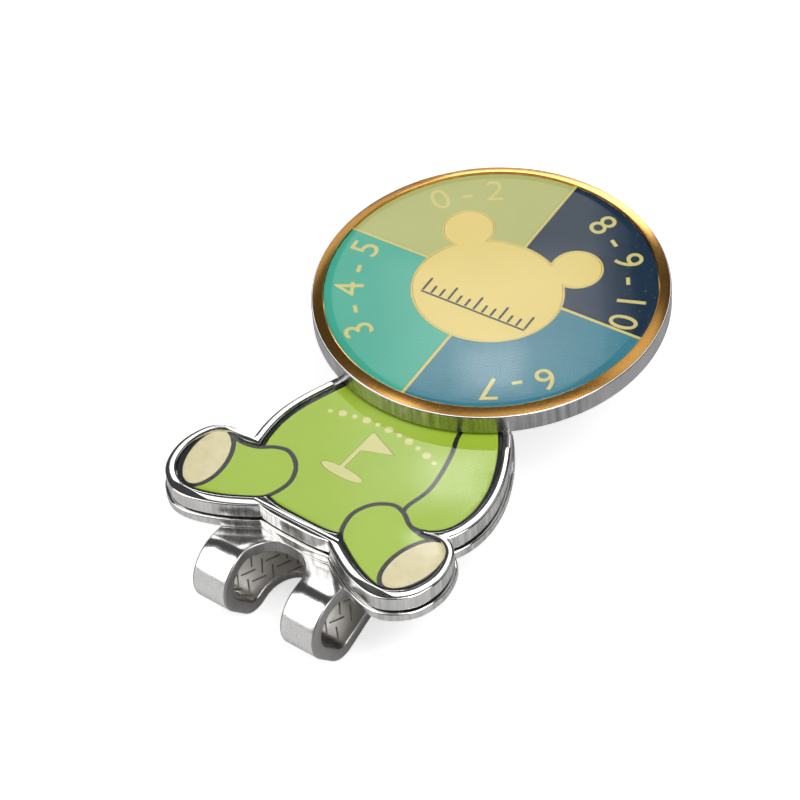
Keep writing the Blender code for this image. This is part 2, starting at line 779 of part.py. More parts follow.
def make_sector(name, side, rise, colour, parts, cutters):
    """One quarter of the face's enamel, less the bear's head at its inner corner."""
    low = MARKER_BOTTOM + FACE_FLOOR + FIT_GAP
    high = MARKER_BOTTOM + FACE_INK_TOP
    sector = prism(name, quarter_loop(side, rise), low, high, cutters, (0.0, MARKER_Y), MARKER_TURN)
    spread = HEAD_WALL + FIT_GAP
    combine(sector, head_prism("head_cut", spread, FACE_FLOOR, DIVIDER_TOP, cutters), "DIFFERENCE")
    return finish(largest_piece(sector), name, parts, enamel(name, colour))


def make_head_patch(parts, cutters):
    patch = head_prism("patch", -FIT_GAP, FACE_FLOOR + FIT_GAP, FACE_INK_TOP, cutters)
    return finish(patch, "uv_patch", parts, enamel("uv_patch", (0.84, 0.70, 0.28)))


def make_marker_dome(parts, empty):
    """Clear resin over the whole face, highest at its centre."""
    radius = FACE_RIM_INNER - FIT_GAP
    edge = DOME_BOTTOM + 0.06 * MM
    crown = 0.22 * MM
    profile = []
    for step in range(7):
        reach = radius * step / 6
        profile.append((reach, edge + crown * (1.0 - (reach / radius) ** 2)))
    profile += [(radius, DOME_BOTTOM), (0.0, DOME_BOTTOM)]
    clear = principled("marker_dome", (0.95, 0.95, 0.95), 0.03, 0.0, 0.3)
    dome = turned("marker_dome", profile, parts, clear, 48)
    dome.parent = empty
    return dome


def make_marker(parts, cutters):
    empty = bpy.data.objects.new("marker_axis", None)
    parts.objects.link(empty)
    empty.location = (0.0, MARKER_Y, MARKER_BOTTOM)
    empty.rotation_euler = (0.0, 0.0, MARKER_TURN)
    make_marker_base(parts, empty)
    make_marker_face(parts, cutters)
    make_sector("very_high_sector", 1, 1, (0.01, 0.05, 0.12), parts, cutters)
    make_sector("low_sector", -1, 1, (0.42, 0.47, 0.20), parts, cutters)
    make_sector("moderate_sector", -1, -1, (0.05, 0.42, 0.32), parts, cutters)
    make_sector("high_sector", 1, -1, (0.05, 0.20, 0.36), parts, cutters)
    make_head_patch(parts, cutters)
    make_marker_dome(parts, empty)


def main():
    clear_scene()
    parts = new_collection(OBJECT_NAME)
    cutters = new_collection("cutters")
    make_body_plate(parts, cutters)
    make_enamel_fields(parts, cutters)
    make_outline_inlay(parts, cutters)
    make_emblem(parts, cutters)
    make_clear_coat(parts, cutters)
    make_magnet(parts, cutters)
    make_bond_film(parts, cutters)
    make_backing_plate(parts, cutters)
    make_rivets(parts, cutters)
    make_clip_root(parts, cutters)
    make_clip_tongue(parts, cutters)
    make_marker(parts, cutters)


main()
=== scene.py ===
import math

import bmesh
import bpy
import numpy as np
from mathutils import Matrix, Vector
from mathutils.geometry import delaunay_2d_cdt, tessellate_polygon


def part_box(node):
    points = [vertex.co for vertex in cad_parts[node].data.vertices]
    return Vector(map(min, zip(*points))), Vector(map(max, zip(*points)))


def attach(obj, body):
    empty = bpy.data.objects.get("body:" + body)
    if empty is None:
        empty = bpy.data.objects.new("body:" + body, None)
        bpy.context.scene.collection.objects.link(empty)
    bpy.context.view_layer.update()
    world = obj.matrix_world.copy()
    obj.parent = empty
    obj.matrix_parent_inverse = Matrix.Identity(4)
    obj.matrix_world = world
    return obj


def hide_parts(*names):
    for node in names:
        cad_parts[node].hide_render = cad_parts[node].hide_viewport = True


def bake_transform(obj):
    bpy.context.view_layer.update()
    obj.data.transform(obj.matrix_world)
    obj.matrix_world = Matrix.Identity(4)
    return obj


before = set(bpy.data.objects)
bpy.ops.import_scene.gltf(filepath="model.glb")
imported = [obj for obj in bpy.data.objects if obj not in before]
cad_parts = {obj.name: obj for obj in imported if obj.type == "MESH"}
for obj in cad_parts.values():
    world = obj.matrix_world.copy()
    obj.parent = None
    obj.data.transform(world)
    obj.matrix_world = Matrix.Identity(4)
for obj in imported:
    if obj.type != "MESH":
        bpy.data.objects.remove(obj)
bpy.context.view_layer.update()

MM = 0.001

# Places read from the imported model
MARKER_LOW, MARKER_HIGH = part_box("marker_base")
DISC_CENTRE = Vector(((MARKER_LOW.x + MARKER_HIGH.x) / 2, (MARKER_LOW.y + MARKER_HIGH.y) / 2))
DISC_BOTTOM = MARKER_LOW.z
PLATE_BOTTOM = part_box("body_plate")[0].z
PLATE_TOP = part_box("body_plate")[1].z
BACKING_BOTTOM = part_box("backing_plate")[0].z
BACKING_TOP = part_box("backing_plate")[1].z
STRIP_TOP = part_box("clip_root")[1].z
STRIP_START_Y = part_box("clip_root")[1].y

# The disc's size and turn on its seat, and the seat's place across the plate
DISC_RADIUS = 12.5 * MM
MARKER_TURN = math.radians(5.0)
SEAT_X = 1.25 * MM

# The plates: the enamel's recess, the rounding of their edges, and the gap round the magnet
RECESS_FLOOR = PLATE_TOP - 0.5 * MM
PLATE_ROUND = 0.13 * MM
BACKING_ROUND = 0.12 * MM
FIT_GAP = 0.04 * MM

# The resin over the bear: how far in its drawn-down edge runs, its net and its swell
RESIN_EDGE = 0.15 * MM
RESIN_CROWN = 0.075 * MM
RESIN_NET = 0.34 * MM
SWELL_ROUNDS = 2500

# The clip's strip, as it is bent
STRIP_HALF = 0.475 * MM
STRIP_HALF_WIDTH = 5.15 * MM
SLOT_HALF = 2.3 * MM
LOOP_RADIUS = 2.65 * MM
STRIP_RUN = 18.4 * MM
CLIP_X = 1.10 * MM
SLOT_TOP_Y = -16.10 * MM
SLOT_LOWER_Y = -14.55 * MM

# The columns of faces round one side's cross-section. Those that are not listed are edges.
OUTSIDE_COLUMNS = range(0, 4)
INSIDE_COLUMNS = range(13, 17)
SLOT_COLUMNS = range(17, 26)

# The grip bars' lean, their spacing in a row and the pace of the rows
GRIP_LEAN = math.radians(38.0)
GRIP_SPACING = 0.95 * MM
GRIP_ROW = 0.85 * MM

# The marker's levels above its underside
CUP_FLOOR = 0.95 * MM
CUP_WALL = 1.50 * MM
LIP_INNER = 12.40 * MM
RIM_INNER = 11.66 * MM
FACE_FLOOR = 1.25 * MM
INK_TOP = 1.56 * MM
DIVIDER_TOP = 1.585 * MM
DIVIDER_RISE = 0.55 * MM
RIM_CREST = 1.74 * MM
RIM_FALL = 0.23 * MM

# The main view, in degrees: how far round from the front, how far up, and how far rolled
CAMERA_AZIMUTH = 40.947
CAMERA_ELEVATION = 45.56
CAMERA_ROLL = -5.322
CAMERA_TARGET = Vector((0.285, -2.826, 8.40)) * MM
CAMERA_DISTANCE = 0.2513
CAMERA_LENS = 166.5

# Where the lamps look, and how far off the panel's layers stand: each one a step nearer
LAMP_AIM = Vector((0.0, -2.0, 6.0)) * MM
BACK_PANEL_DISTANCE = 0.60
BACK_PANEL_STEP = 0.001

# The panel behind the object, as (degrees right, degrees up, width, height, brightness). The
# layers add up, so it fades out towards its edges.
BACK_PANEL = (
    (0.9, 1.0, 0.138, 0.210, 0.6), (0.9, 1.0, 0.126, 0.205, 0.6), (0.9, 1.0, 0.114, 0.200, 0.6),
    (2.0, 0.2, 0.090, 0.085, 0.4), (2.0, 0.2, 0.078, 0.074, 0.4), (2.0, 0.2, 0.064, 0.062, 0.4),
    (2.0, 0.4, 0.050, 0.050, 0.4), (1.9, 2.7, 0.032, 0.032, 1.2), (1.9, 2.7, 0.024, 0.024, 1.4),
    (1.9, 2.7, 0.016, 0.017, 1.6),
)


# ---------------------------------------------------------------- node graphs

def add(tree, kind, inputs=None, **settings):
    """Adds a node; inputs maps a socket's name or number to a value or to another node's output."""
    made = tree.nodes.new(kind)
    for key, value in settings.items():
        setattr(made, key, value)
    for key, value in (inputs or {}).items():
        if isinstance(value, bpy.types.NodeSocket):
            tree.links.new(value, made.inputs[key])
        else:
            made.inputs[key].default_value = value
    return made


def noise(tree, scale, stretch=(1.0, 1.0, 1.0), detail=3.0, roughness=0.55):
    """Noise from the object's own place, scale in features per metre."""
    place = add(tree, "ShaderNodeTexCoord").outputs["Object"]
    mapped = add(tree, "ShaderNodeMapping", {"Vector": place, "Scale": stretch}).outputs["Vector"]
    inputs = {"Vector": mapped, "Scale": scale, "Detail": detail, "Roughness": roughness}
    return add(tree, "ShaderNodeTexNoise", inputs).outputs["Fac"]


def remap(tree, value, low, high, to_low, to_high):
    inputs = {"Value": value, "From Min": low, "From Max": high, "To Min": to_low, "To Max": to_high}
    return add(tree, "ShaderNodeMapRange", inputs).outputs["Result"]


def multiply(tree, a, b):
    return add(tree, "ShaderNodeMath", {0: a, 1: b}, operation="MULTIPLY").outputs[0]


def mix_colour(tree, factor, a, b):
    """Blends two colours, each given as three numbers or as an output."""
    values = [value if isinstance(value, bpy.types.NodeSocket) else (*value, 1.0) for value in (a, b)]
    inputs = {0: factor, 6: values[0], 7: values[1]}
    return add(tree, "ShaderNodeMix", inputs, data_type="RGBA").outputs[2]


def bump(tree, height, distance, strength=1.0):
    inputs = {"Height": height, "Distance": distance, "Strength": strength}
    return add(tree, "ShaderNodeBump", inputs).outputs["Normal"]


def new_material(name):
    material = bpy.data.materials.new(name)
    material.use_nodes = True
    tree = material.node_tree
    return material, tree, tree.nodes["Principled BSDF"]


def side_mask(tree, low=0.35, high=0.8):
    """1 on upright walls and 0 on flat faces."""
    normal = add(tree, "ShaderNodeNewGeometry").outputs["Normal"]
    upright = add(tree, "ShaderNodeSeparateXYZ", {0: normal}).outputs["Z"]
    size = add(tree, "ShaderNodeMath", {0: upright}, operation="ABSOLUTE").outputs[0]
    return remap(tree, size, low, high, 1.0, 0.0)


def plated(name, bright, dark, gloss, wall=0.5, grain=5000.0, stretch=(1.0, 1.0, 1.0), relief=0.10):
    """Plated metal: faint clouding and fine grain, with upright brushing on its walls, and patchy dark
    streaks painted along the walls as dark reflections.
    """
    material, tree, shader = new_material(name)
    cloud = noise(tree, 420.0, detail=4.0)
    grit = noise(tree, grain, stretch, detail=5.0, roughness=0.7)
    brush_lines_and_streaks = noise(tree, 2600.0, (1.0, 1.0, 0.04), detail=6.0, roughness=0.7)
    zone = noise(tree, 230.0, (1.0, 1.0, 0.3), detail=2.0)
    mask = side_mask(tree)
    streak = remap(tree, brush_lines_and_streaks, 0.36, 0.68, 0.0, wall)
    streak_patches = remap(tree, zone, 0.40, 0.62, 0.25, 1.0)
    painted_wall_streaks = multiply(tree, multiply(tree, streak, streak_patches), mask)
    tone = mix_colour(tree, remap(tree, cloud, 0.35, 0.75, 0.0, 0.5), bright, dark)
    # Painted dark reflection: on upright walls the colour darkens in patchy streaks towards near black.
    base = mix_colour(tree, painted_wall_streaks, tone, [channel * 0.12 for channel in dark])
    tree.links.new(base, shader.inputs["Base Color"])
    shader.inputs["Metallic"].default_value = 1.0
    soft = remap(tree, grit, 0.3, 0.7, gloss * 0.75, gloss * 1.35)
    rough = add(tree, "ShaderNodeMath", {0: multiply(tree, mask, 0.12), 1: soft}).outputs[0]
    tree.links.new(rough, shader.inputs["Roughness"])
    lines = multiply(tree, multiply(tree, brush_lines_and_streaks, mask), min(1.0, wall * 1.2))
    rise = add(tree, "ShaderNodeMath", {0: lines, 1: multiply(tree, grit, relief)})
    tree.links.new(bump(tree, rise.outputs[0], 0.000008, 0.6), shader.inputs["Normal"])
    return material


def enamel(name, colour, shade, speck=0.0, gloss=0.42):
    """Opaque enamel: slow colour drift, fine grain and, where speck is set, small flecks."""
    material, tree, shader = new_material(name)
    drift = noise(tree, 160.0, detail=3.0)
    grain = noise(tree, 3800.0, detail=4.0, roughness=0.7)
    tone = mix_colour(tree, remap(tree, drift, 0.35, 0.65, 0.0, 1.0), colour, shade)
    fleck = remap(tree, noise(tree, 5200.0, detail=1.0), 0.68, 0.78, 0.0, speck)
    tree.links.new(mix_colour(tree, fleck, tone, (0.75, 0.66, 0.36)), shader.inputs["Base Color"])
    tree.links.new(remap(tree, grain, 0.3, 0.7, gloss * 0.85, gloss * 1.2), shader.inputs["Roughness"])
    tree.links.new(bump(tree, grain, 0.000004, 0.5), shader.inputs["Normal"])
    shader.inputs["Specular IOR Level"].default_value = 0.2
    return material


def mottled(name, colour, shade, gloss=0.45):
    """Cream enamel with soft brownish mottling."""
    material, tree, shader = new_material(name)
    patches = noise(tree, 1100.0, detail=6.0, roughness=0.75)
    drift = noise(tree, 260.0, detail=2.0)
    tone = mix_colour(tree, remap(tree, patches, 0.42, 0.66, 0.0, 0.75), colour, shade)
    soft = mix_colour(tree, remap(tree, drift, 0.4, 0.6, 0.0, 0.25), tone, [c * 0.9 for c in colour])
    tree.links.new(soft, shader.inputs["Base Color"])
    tree.links.new(remap(tree, patches, 0.3, 0.7, gloss * 0.8, gloss * 1.2), shader.inputs["Roughness"])
    tree.links.new(bump(tree, patches, 0.000005, 0.4), shader.inputs["Normal"])
    shader.inputs["Specular IOR Level"].default_value = 0.2
    return material


def resin(name, ripple):
    """Clear epoxy: lets the enamel show and mirrors the lamps, more so at a low angle."""
    material, tree, shader = new_material(name)
    tree.nodes.remove(shader)
    output = next(node for node in tree.nodes if node.type == "OUTPUT_MATERIAL")
    swell = noise(tree, 240.0, detail=1.0)
    normal = bump(tree, swell, ripple, 1.0)
    facing = add(tree, "ShaderNodeLayerWeight", {"Blend": 0.5, "Normal": normal}).outputs["Facing"]
    power = add(tree, "ShaderNodeMath", {0: facing, 1: 5.0}, operation="POWER").outputs[0]
    share = remap(tree, power, 0.0, 1.0, 0.045, 1.0)
    back = add(tree, "ShaderNodeNewGeometry").outputs["Backfacing"]
    front = add(tree, "ShaderNodeMath", {0: 1.0, 1: back}, operation="SUBTRACT").outputs[0]
    clear = add(tree, "ShaderNodeBsdfTransparent", {"Color": (0.97, 0.98, 0.96, 1.0)}).outputs[0]
    haze = remap(tree, noise(tree, 900.0, detail=3.0), 0.35, 0.7, 0.035, 0.07)
    mirror = add(tree, "ShaderNodeBsdfAnisotropic", {"Roughness": haze, "Normal": normal}).outputs[0]
    mixed = add(tree, "ShaderNodeMixShader", {0: multiply(tree, share, front), 1: clear, 2: mirror})
    tree.links.new(mixed.outputs[0], output.inputs["Surface"])
    return material


def rubbery(name, colour):
    material, tree, shader = new_material(name)
    grain = noise(tree, 4000.0, detail=4.0)
    tone = mix_colour(tree, remap(tree, grain, 0.3, 0.7, 0.0, 1.0), colour, [c * 1.6 for c in colour])
    tree.links.new(tone, shader.inputs["Base Color"])
    tree.links.new(remap(tree, grain, 0.3, 0.7, 0.6, 0.85), shader.inputs["Roughness"])
    tree.links.new(bump(tree, grain, 0.00001, 0.6), shader.inputs["Normal"])
    return material


GREEN = enamel("green_enamel", (0.455, 0.625, 0.052), (0.425, 0.600, 0.046))
CREAM = mottled("cream_enamel", (0.90, 0.79, 0.52), (0.76, 0.62, 0.39))
INK = enamel("dark_ink", (0.020, 0.021, 0.026), (0.030, 0.031, 0.037), gloss=0.5)
OLIVE = enamel("olive_enamel", (0.58, 0.59, 0.225), (0.55, 0.56, 0.205), 0.2)
TEAL = enamel("teal_enamel", (0.070, 0.50, 0.39), (0.060, 0.47, 0.36), 0.2)
BLUE = enamel("blue_enamel", (0.050, 0.25, 0.36), (0.042, 0.225, 0.33), 0.25)
NAVY = enamel("navy_enamel", (0.004, 0.028, 0.075), (0.003, 0.024, 0.062), 0.35)
PATCH = enamel("yellow_patch", (0.93, 0.72, 0.24), (0.90, 0.69, 0.22), 0.0, 0.5)
PRINT = enamel("gilt_print", (0.80, 0.68, 0.26), (0.76, 0.64, 0.23), 0.0, 0.5)
SCRIPT = enamel("cream_print", (0.84, 0.78, 0.36), (0.80, 0.74, 0.33), 0.0, 0.5)
NICKEL = plated("nickel_plate", (0.90, 0.89, 0.87), (0.74, 0.73, 0.72), 0.10, 0.85)
# The marker cup's metal is set darker than the plate's nickel: painted shade, for the shaded ground its
# front wall mirrors.
SHADED_STEEL = plated("marker_steel", (0.56, 0.55, 0.55), (0.36, 0.35, 0.36), 0.13, 0.6, 5000.0, (1.0, 1.0, 4.0))
GILT = plated("gilt", (0.94, 0.50, 0.13), (0.86, 0.40, 0.085), 0.20, 0.4, 9000.0, relief=0.02)
CHROME = plated("clip_chrome", (0.92, 0.91, 0.90), (0.84, 0.83, 0.82), 0.15, 0.12, relief=0.02)
EDGE = plated("clip_edge", (0.46, 0.45, 0.44), (0.26, 0.25, 0.25), 0.28, 0.35, 7000.0)
# The strip's inside is satin, and its colour is set darker than the outside: painted shade inside the
# loop.
SHADED_SATIN = plated("clip_satin_shaded", (0.52, 0.50, 0.47), (0.38, 0.36, 0.34), 0.34, 0.3, 2600.0)
# The grip bars are coloured dark grey: painted shade, so that they look like engraved grooves.
SHADED_MARKS = plated("clip_marks_shaded", (0.22, 0.20, 0.19), (0.14, 0.12, 0.11), 0.4, 0.0)
RIVET = plated("rivet_steel", (0.78, 0.77, 0.75), (0.55, 0.54, 0.53), 0.2, 0.3)
MAGNET = plated("magnet_nickel", (0.55, 0.55, 0.56), (0.36, 0.36, 0.37), 0.3, 0.4)
RESIN = resin("clear_resin", 0.0000015)
FILM = rubbery("adhesive", (0.012, 0.012, 0.012))


# ---------------------------------------------------------------- outlines

def area_of(loop):
    pairs = zip(loop, loop[1:] + loop[:1])
    return sum(a.x * b.y - b.x * a.y for a, b in pairs) / 2


def flat_loops(node, level):
    """Outlines of a CAD node's flat faces at one level, largest first: solid to the left of each line."""
    work = bmesh.new()
    work.from_mesh(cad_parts[node].data)
    bmesh.ops.remove_doubles(work, verts=work.verts, dist=0.003 * MM)
    flat = {f for f in work.faces if all(abs(v.co.z - level) < 0.01 * MM for v in f.verts)}
    ways = {}
    for face in flat:
        for loop in face.loops:
            if sum(other in flat for other in loop.edge.link_faces) == 1:
                ways[loop.vert] = loop.link_loop_next.vert
    loops = []
    while ways:
        start = next(iter(ways))
        vert = start
        points = []
        while vert in ways:
            points.append(vert.co.xy.copy())
            vert = ways.pop(vert)
        loops.append(points)
    facing = sum(face.normal.z for face in flat)
    work.free()
    if facing < 0:
        loops = [loop[::-1] for loop in loops]
    return sorted(loops, key=lambda loop: -abs(area_of(loop)))


def thinned(loop, least):
    """The loop without points closer than least to the one before."""
    kept = [loop[0]]
    for point in loop[1:]:
        if (point - kept[-1]).length > least:
            kept.append(point)
    if (kept[0] - kept[-1]).length < least:
        kept.pop()
    return kept


def refined(loop, spacing=0.2 * MM, corner=math.radians(24.0)):
    """The loop as a smooth curve through its points, with its corners left sharp."""
    loop = thinned(loop, 0.08 * MM)
    count = len(loop)
    sides = [loop[(i + 1) % count] - loop[i] for i in range(count)]
    turns = [sides[i - 1].angle(sides[i]) for i in range(count)]
    tangents = []
    for i in range(count):
        before, after = sides[i - 1], sides[i]
        lead, trail = before.length, after.length
        tangents.append((before / lead * trail + after / trail * lead) / (lead + trail))
    smooth = []
    for i in range(count):
        a, b = loop[i], loop[(i + 1) % count]
        side = sides[i]
        first = side / side.length if turns[i] > corner else tangents[i]
        last = side / side.length if turns[(i + 1) % count] > corner else tangents[(i + 1) % count]
        steps = max(1, round(side.length / spacing))
        for step in range(steps):
            t = step / steps
            rise = first * (t ** 3 - 2 * t ** 2 + t) + last * (t ** 3 - t ** 2)
            share = 3 * t ** 2 - 2 * t ** 3
            smooth.append(a * (1 - share) + b * share + rise * side.length)
    return smooth


def shifted(loop, distance):
    """The loop moved to its right, which is away from the solid, with its corners kept sharp."""
    moved = []
    count = len(loop)
    for i, point in enumerate(loop):
        before = (point - loop[i - 1]).normalized()
        after = (loop[(i + 1) % count] - point).normalized()
        out = Vector((before.y + after.y, -before.x - after.x))
        moved.append(point + out * distance / max(0.6, 1.0 + before.dot(after)))
    return moved


def round_profile(radius, bottom, top, steps=4):
    """(inset, level) pairs up a wall whose two edges are rounded."""
    arcs = []
    for step in range(steps + 1):
        angle = math.pi / 2 * step / steps
        arcs.append((radius * (1 - math.sin(angle)), radius * (1 - math.cos(angle))))
    low = [(inset, bottom + rise) for inset, rise in arcs]
    high = [(inset, top - rise) for inset, rise in arcs[::-1]]
    return low + high


# ---------------------------------------------------------------- meshes

class Shell:
    """A mesh put together from rings of points."""

    def __init__(self):
        self.points = []
        self.faces = []
        self.kinds = []

    def ring(self, loop, level):
        first = len(self.points)
        self.points += [(point.x, point.y, level) for point in loop]
        return list(range(first, len(self.points)))

    def face(self, corners, kind=0):
        self.faces.append(tuple(corners))
        self.kinds.append(kind)

    def wall(self, low, high, kind=0):
        count = len(low)
        for i in range(count):
            j = (i + 1) % count
            self.face((low[i], low[j], high[j], high[i]), kind)

    def cap(self, rings):
        loops = [[Vector(self.points[i]) for i in ring] for ring in rings]
        flat = [i for ring in rings for i in ring]
        for corners in tessellate_polygon(loops):
            self.face([flat[i] for i in corners])

    def built(self, name, materials, weld=0.0005 * MM, sharp=35.0, weighted=True):
        work = bmesh.new()
        verts = [work.verts.new(point) for point in self.points]
        for corners, kind in zip(self.faces, self.kinds):
            if len(set(corners)) > 2:
                made = work.faces.new([verts[i] for i in corners])
                made.material_index = kind
        bmesh.ops.remove_doubles(work, verts=work.verts, dist=weld)
        bmesh.ops.dissolve_degenerate(work, edges=work.edges, dist=weld)
        bmesh.ops.recalc_face_normals(work, faces=work.faces)
        mesh = bpy.data.meshes.new(name)
        work.to_mesh(mesh)
        work.free()
        for material in materials:
            mesh.materials.append(material)
        mesh.shade_smooth()
        mesh.set_sharp_from_angle(angle=math.radians(sharp))
        piece = bpy.data.objects.new(name, mesh)
        bpy.context.scene.collection.objects.link(piece)
        if weighted:
            even = piece.modifiers.new("even", "WEIGHTED_NORMAL")
            even.keep_sharp = True
        return piece


def lofted(shell, loop, profile):
    """Rings of a loop along (inset, level) pairs. Returns the first and last ring."""
    rings = [shell.ring(shifted(loop, -inset), level) for inset, level in profile]
    for low, high in zip(rings, rings[1:]):
        shell.wall(low, high)
    return rings[0], rings[-1]


def turned_into(shell, profile, steps, centre, base):
    """A profile of (radius, height) pairs turned about Z, into the shell. A radius of 0 is a pole."""
    rings = []
    for radius, height in profile:
        if radius == 0.0:
            shell.points.append((centre.x, centre.y, base + height))
            rings.append([len(shell.points) - 1] * steps)
            continue
        loop = []
        for step in range(steps):
            angle = 2 * math.pi * step / steps
            loop.append(centre + Vector((math.cos(angle), math.sin(angle))) * radius)
        rings.append(shell.ring(loop, base + height))
    for low, high in zip(rings, rings[1:]):
        for i in range(steps):
            j = (i + 1) % steps
            corners = [low[i], low[j], high[j], high[i]]
            shell.face(list(dict.fromkeys(corners)))


def arc_points(centre, radius, start, end, steps):
    """(radius, height) pairs round an arc, angles in degrees."""
    points = []
    for step in range(steps + 1):
        angle = math.radians(start + (end - start) * step / steps)
        points.append((centre[0] + radius * math.cos(angle), centre[1] + radius * math.sin(angle)))
    return points


# ---------------------------------------------------------------- the holder's two plates

def make_holder_plate():
    """The upper plate: a polished rim with rounded edges round the enamel's recess."""
    shell = Shell()
    edge = 0.05 * MM
    ceiling_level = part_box("magnet")[1].z + FIT_GAP
    outer, recess = [refined(loop) for loop in flat_loops("body_plate", PLATE_TOP)[:2]]
    pocket = min(flat_loops("body_plate", PLATE_BOTTOM), key=lambda loop: abs(area_of(loop)))
    low, high = lofted(shell, outer, round_profile(PLATE_ROUND, PLATE_BOTTOM, PLATE_TOP))
    inner = [
        (edge, PLATE_TOP), (edge * 0.3, PLATE_TOP - edge * 0.3),
        (0.0, PLATE_TOP - edge), (0.0, RECESS_FLOOR),
    ]
    lip, floor = lofted(shell, recess, inner)
    mouth, ceiling = lofted(shell, pocket, [(0.0, PLATE_BOTTOM), (0.0, ceiling_level)])
    shell.cap([high, lip])
    shell.cap([floor])
    shell.cap([low, mouth])
    shell.cap([ceiling])
    piece = shell.built("holder_plate", [NICKEL])
    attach(piece, "holder")
    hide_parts("body_plate")


def make_holder_backing():
    """The lower plate, a hair larger, drilled for the rivets."""
    shell = Shell()
    outer, *holes = flat_loops("backing_plate", BACKING_TOP)
    low, high = lofted(shell, refined(outer), round_profile(BACKING_ROUND, BACKING_BOTTOM, BACKING_TOP))
    ends = [lofted(shell, hole, [(0.0, BACKING_BOTTOM), (0.0, BACKING_TOP)]) for hole in holes]
    shell.cap([high, *[end[1] for end in ends]])
    shell.cap([low, *[end[0] for end in ends]])
    piece = shell.built("holder_backing", [NICKEL])
    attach(piece, "holder")
    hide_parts("backing_plate")


def inside(points, loop):
    """For each row of points, whether it lies inside the loop."""
    line = np.array([tuple(point) for point in loop])
    after = np.roll(line, -1, axis=0)
    x, y = points[:, :1], points[:, 1:]
    crosses = (line[:, 1] > y) != (after[:, 1] > y)
    rise = np.where(after[:, 1] == line[:, 1], 1.0, after[:, 1] - line[:, 1])
    at = line[:, 0] + (y - line[:, 1]) * (after[:, 0] - line[:, 0]) / rise
    return (crosses & (x < at)).sum(axis=1) % 2 == 1


def gap_to(points, loop):
    """The distance from each row of points to the loop's corners."""
    line = np.array([tuple(point) for point in loop])
    return np.sqrt(((points[:, None, :] - line[None]) ** 2).sum(axis=2)).min(axis=1)


def dome_over(shell, ring, loop, level, crown, spacing):
    """Fills a ring with a fine net that swells like a drop of resin held by its edge."""
    low = np.min([tuple(p) for p in loop], axis=0)
    high = np.max([tuple(p) for p in loop], axis=0)
    rows = int((high[1] - low[1]) / (spacing * 0.866)) + 1
    columns = int((high[0] - low[0]) / spacing) + 2
    net = np.array([
        (low[0] + (column - 0.5 * (row % 2)) * spacing, low[1] + row * spacing * 0.866)
        for row in range(rows) for column in range(columns)
    ])
    net = net[inside(net, loop)]
    net = net[gap_to(net, loop) > spacing * 0.6]
    points = [Vector(point) for point in loop] + [Vector(point) for point in net]
    border = len(loop)
    spots, _, faces, sources, _, _ = delaunay_2d_cdt(points, [], [list(range(border))], 1, 1e-9)
    fixed = np.array([any(source < border for source in group) for group in sources])
    pairs = np.array(sorted({tuple(sorted((f[i], f[i - 1]))) for f in faces for i in range(len(f))}))
    height = np.zeros(len(spots))
    degree = np.bincount(pairs.ravel(), minlength=len(spots)).clip(1)
    for _ in range(SWELL_ROUNDS):
        total = np.bincount(pairs[:, 0], height[pairs[:, 1]], len(spots))
        total += np.bincount(pairs[:, 1], height[pairs[:, 0]], len(spots))
        height = np.where(fixed, 0.0, total / degree + 1.0)
    height *= crown / height.max()
    names = []
    for spot, rise, group in zip(spots, height, sources):
        kept = [source for source in group if source < border]
        if kept:
            names.append(ring[kept[0]])
            continue
        names.append(len(shell.points))
        shell.points.append((spot.x, spot.y, level + rise))
    for face in faces:
        shell.face([names[i] for i in face])


def make_holder_resin():
    """Clear epoxy poured over the bear's enamel, with a drawn-down edge at the rim."""
    shell = Shell()
    low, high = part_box("body_clear_coat")
    outline = refined(flat_loops("body_clear_coat", high.z)[0], 0.22 * MM)
    profile = [
        (0.0, low.z), (0.0, low.z + 0.020 * MM), (0.03 * MM, low.z + 0.045 * MM),
        (0.08 * MM, low.z + 0.062 * MM), (RESIN_EDGE, low.z + 0.072 * MM),
    ]
    first, last = lofted(shell, outline, profile)
    shell.cap([first])
    level = profile[-1][1]
    dome_over(shell, last, shifted(outline, -RESIN_EDGE), level, RESIN_CROWN, RESIN_NET)
    piece = shell.built("holder_resin", [RESIN], weighted=False)
    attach(piece, "holder")
    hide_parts("body_clear_coat")


# ---------------------------------------------------------------- the spring clip

def strip_moves():
    """The strip's straight runs and bends from its hidden end to its tip: (length, radius, turn)."""
    middle = LOOP_RADIUS - STRIP_HALF
    heel = 1.70 * MM - STRIP_HALF
    turns = ((middle, 90.0), (middle, 41.0), None, (heel, 71.0), None, (3.0 * MM, -38.0), None)
    runs = iter((1.70 * MM, 10.77 * MM, 1.0 * MM))
    moves = [(STRIP_RUN, 0.0, 0.0)]
    for bend in turns:
        if bend is None:
            moves.append((next(runs), 0.0, 0.0))
        else:
            radius, turn = bend
            moves.append((radius * abs(math.radians(turn)), radius, math.radians(turn)))
    return moves


STRIP_MOVES = strip_moves()
STRIP_LENGTH = sum(length for length, _, _ in STRIP_MOVES)


def strip_at(s):
    """The centre line's point (y, z) and heading at a length along the strip."""
    point = Vector((STRIP_START_Y, STRIP_TOP - STRIP_HALF))
    heading = math.pi
    for length, radius, turn in STRIP_MOVES:
        here = min(s, length)
        if radius:
            side = math.copysign(1.0, turn)
            centre = point + Vector((-math.sin(heading), math.cos(heading))) * radius * side
            heading += turn * here / length
            point = centre + Vector((math.sin(heading), -math.cos(heading))) * radius * side
        else:
            point = point + Vector((math.cos(heading), math.sin(heading))) * here
        s -= here
        if s <= 0:
            break
    return point, heading


def on_strip(x, s, t):
    """A point of the bent strip: x across it, s along it and t through it towards the loop's inside."""
    point, heading = strip_at(s)
    return (CLIP_X + x, point.x - math.sin(heading) * t, point.y + math.cos(heading) * t)


